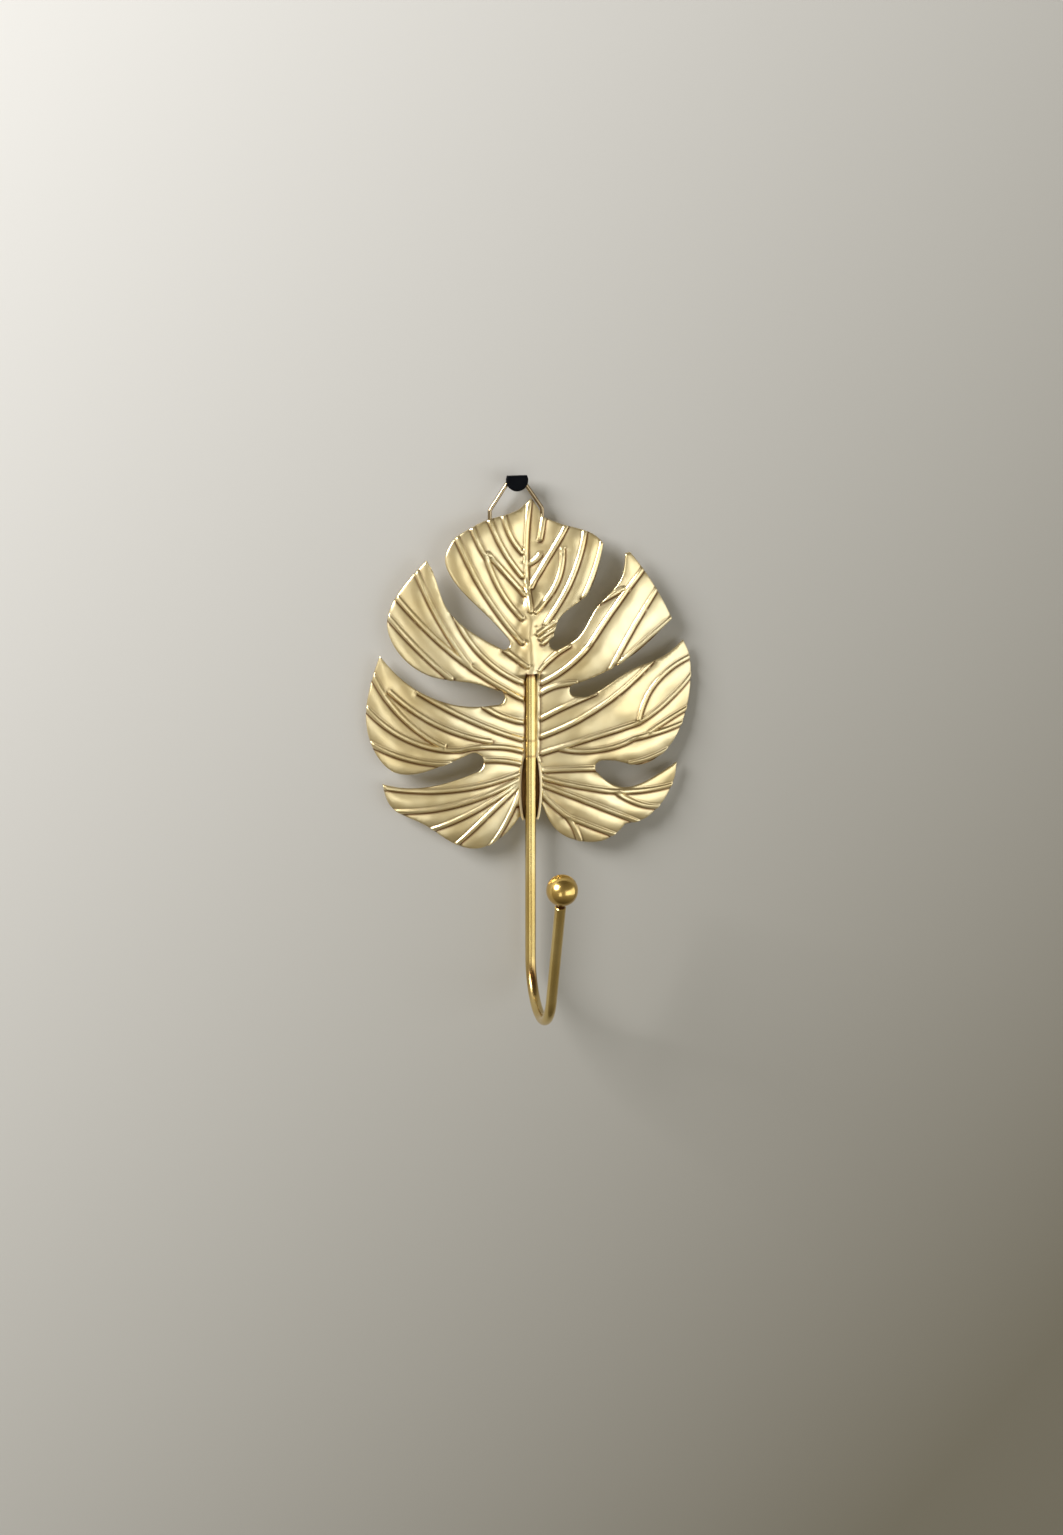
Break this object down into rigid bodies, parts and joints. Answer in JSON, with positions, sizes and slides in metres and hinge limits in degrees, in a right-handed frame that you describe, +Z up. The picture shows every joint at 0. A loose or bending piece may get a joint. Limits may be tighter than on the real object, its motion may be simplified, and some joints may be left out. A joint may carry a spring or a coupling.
{
  "type": "coat hook",
  "caption": "Gold monstera leaf wall hook: an embossed slotted sheet on a bent round rod with a ball end, hung by a wire loop from a nail.",
  "frame": {"origin": "on the nail's axis, where its pin enters the wall", "axes": "+Z up the leaf to its tip, +Y into the wall along the nail's pin, +X to the right as seen from the front"},
  "size_m": [0.1073, 0.0777, 0.1769],
  "materials": {
    "leaf_gold": "satin",
    "rod_gold": "polished",
    "ball_gold": "polished",
    "wire_gold": "satin",
    "nail_black": "gloss"
  },
  "bodies": {
    "root": {"leaf_plate": "leaf_gold", "hook_rod": "rod_gold", "ball_knob": "ball_gold", "hanger_loop": "wire_gold", "wall_nail": "nail_black"}
  },
  "joints": []
}
